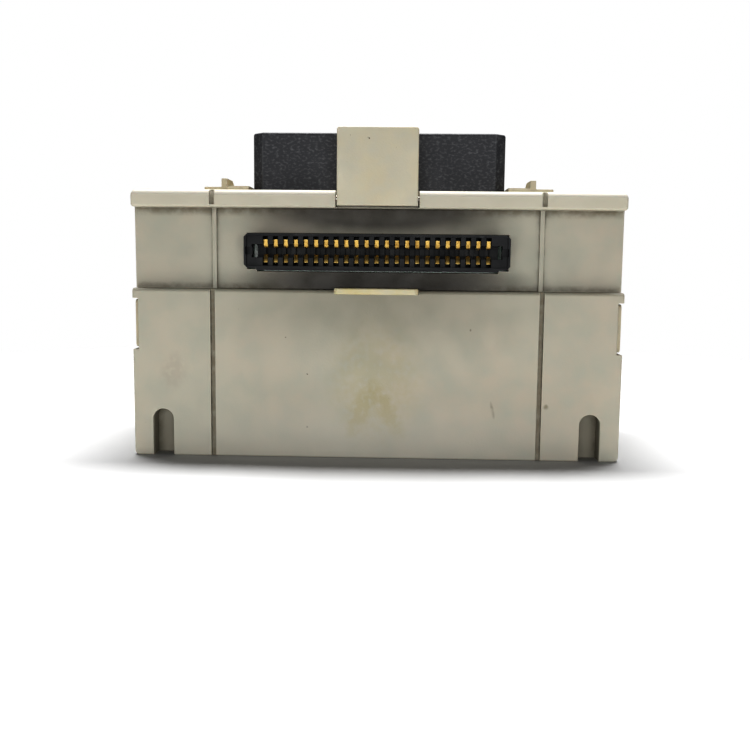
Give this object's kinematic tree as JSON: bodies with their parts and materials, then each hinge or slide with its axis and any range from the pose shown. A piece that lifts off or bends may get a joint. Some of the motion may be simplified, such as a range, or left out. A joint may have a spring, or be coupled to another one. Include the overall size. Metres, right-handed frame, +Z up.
{
  "type": "plc expansion bus module",
  "caption": "Box module for a control rack: edge connector in a set-back band, capped plug and latch tab on top, side release arms and base notches.",
  "frame": {"origin": "centre of the bounding box's bottom, on the face it rests on", "axes": "+X along the case, -Y out of the front with the edge connector, +Z up"},
  "size_m": [0.125, 0.062, 0.0837],
  "materials": {
    "case_beige": "moulded, fine satin",
    "frame_beige": "moulded, satin",
    "tab_beige": "moulded, satin",
    "arm_beige": "moulded, satin",
    "catch_yellowed": "moulded, yellowed",
    "connector_black": "moulded, glass filled",
    "cap_black": "moulded, matte, scuffed",
    "contact_gold": "gold flashed",
    "screw_steel": "zinc plated",
    "pin_steel": "ground",
    "spring_steel": "drawn wire",
    "board_green": "solder mask over glass epoxy",
    "chip_black": "moulded epoxy",
    "lead_tin": "tinned",
    "network_epoxy": "dipped epoxy",
    "capacitor_ceramic": "fired ceramic",
    "crystal_can": "drawn can",
    "capacitor_sleeve": "shrunk sleeve",
    "ferrite": "sintered",
    "winding_copper": "enamelled wire",
    "heat_sink_aluminium": "extruded",
    "fuse_glass": "glass tube"
  },
  "bodies": {
    "case": {"bus_buffer_leads": "lead_tin", "bus_buffers": "chip_black", "case_screws": "screw_steel", "catch_plate": "catch_yellowed", "choke_core": "ferrite", "choke_winding": "winding_copper", "controller_chip": "chip_black", "controller_leads": "lead_tin", "crystal": "crystal_can", "decoupling_capacitors": "capacitor_ceramic", "front_connector_body": "connector_black", "front_edge_fingers": "contact_gold", "fuse": "fuse_glass", "fuse_clips": "lead_tin", "guide_frame": "frame_beige", "heat_sink": "heat_sink_aluminium", "latch_pin": "pin_steel", "latch_spring": "spring_steel", "left_release_pin": "pin_steel", "left_release_spring": "spring_steel", "link_header": "connector_black", "link_pins": "contact_gold", "lower_case": "case_beige", "lower_contacts": "contact_gold", "main_board": "board_green", "main_board_screws": "screw_steel", "rear_cover": "case_beige", "rear_cover_screws": "screw_steel", "rear_edge_fingers": "contact_gold", "regulator": "chip_black", "resistor_networks": "network_epoxy", "right_release_pin": "pin_steel", "right_release_spring": "spring_steel", "supply_board": "board_green", "supply_board_screws": "screw_steel", "supply_capacitors": "capacitor_sleeve", "upper_case": "case_beige", "upper_contacts": "contact_gold"},
    "latch": {"latch_tab": "tab_beige"},
    "cap": {"connector_cap": "cap_black"},
    "left_arm": {"left_release_arm": "arm_beige"},
    "right_arm": {"right_release_arm": "arm_beige"}
  },
  "joints": [
    {"name": "latch_hinge", "type": "hinge", "parent": "case", "child": "latch", "pos_m": [0, -0.0258, 0.0662], "axis": [1, 0, 0], "range_deg": [0, 8], "stiffness_Nm_per_rad": 0.02, "springref_deg": -20.05},
    {"name": "cap_pull", "type": "slide", "parent": "case", "child": "cap", "axis": [0, 0, 1], "range_m": [0, 0.0105]},
    {"name": "left_release", "type": "hinge", "parent": "case", "child": "left_arm", "pos_m": [-0.0604, -0.007, 0.03415], "axis": [0, 0, 1], "range_deg": [0, 4.5], "stiffness_Nm_per_rad": 0.008, "springref_deg": -20.05, "deforming": ["left_release_spring"]},
    {"name": "right_release", "type": "hinge", "parent": "case", "child": "right_arm", "pos_m": [0.0604, -0.007, 0.03415], "axis": [0, 0, -1], "range_deg": [0, 4.5], "stiffness_Nm_per_rad": 0.008, "springref_deg": -20.05, "deforming": ["right_release_spring"]}
  ]
}
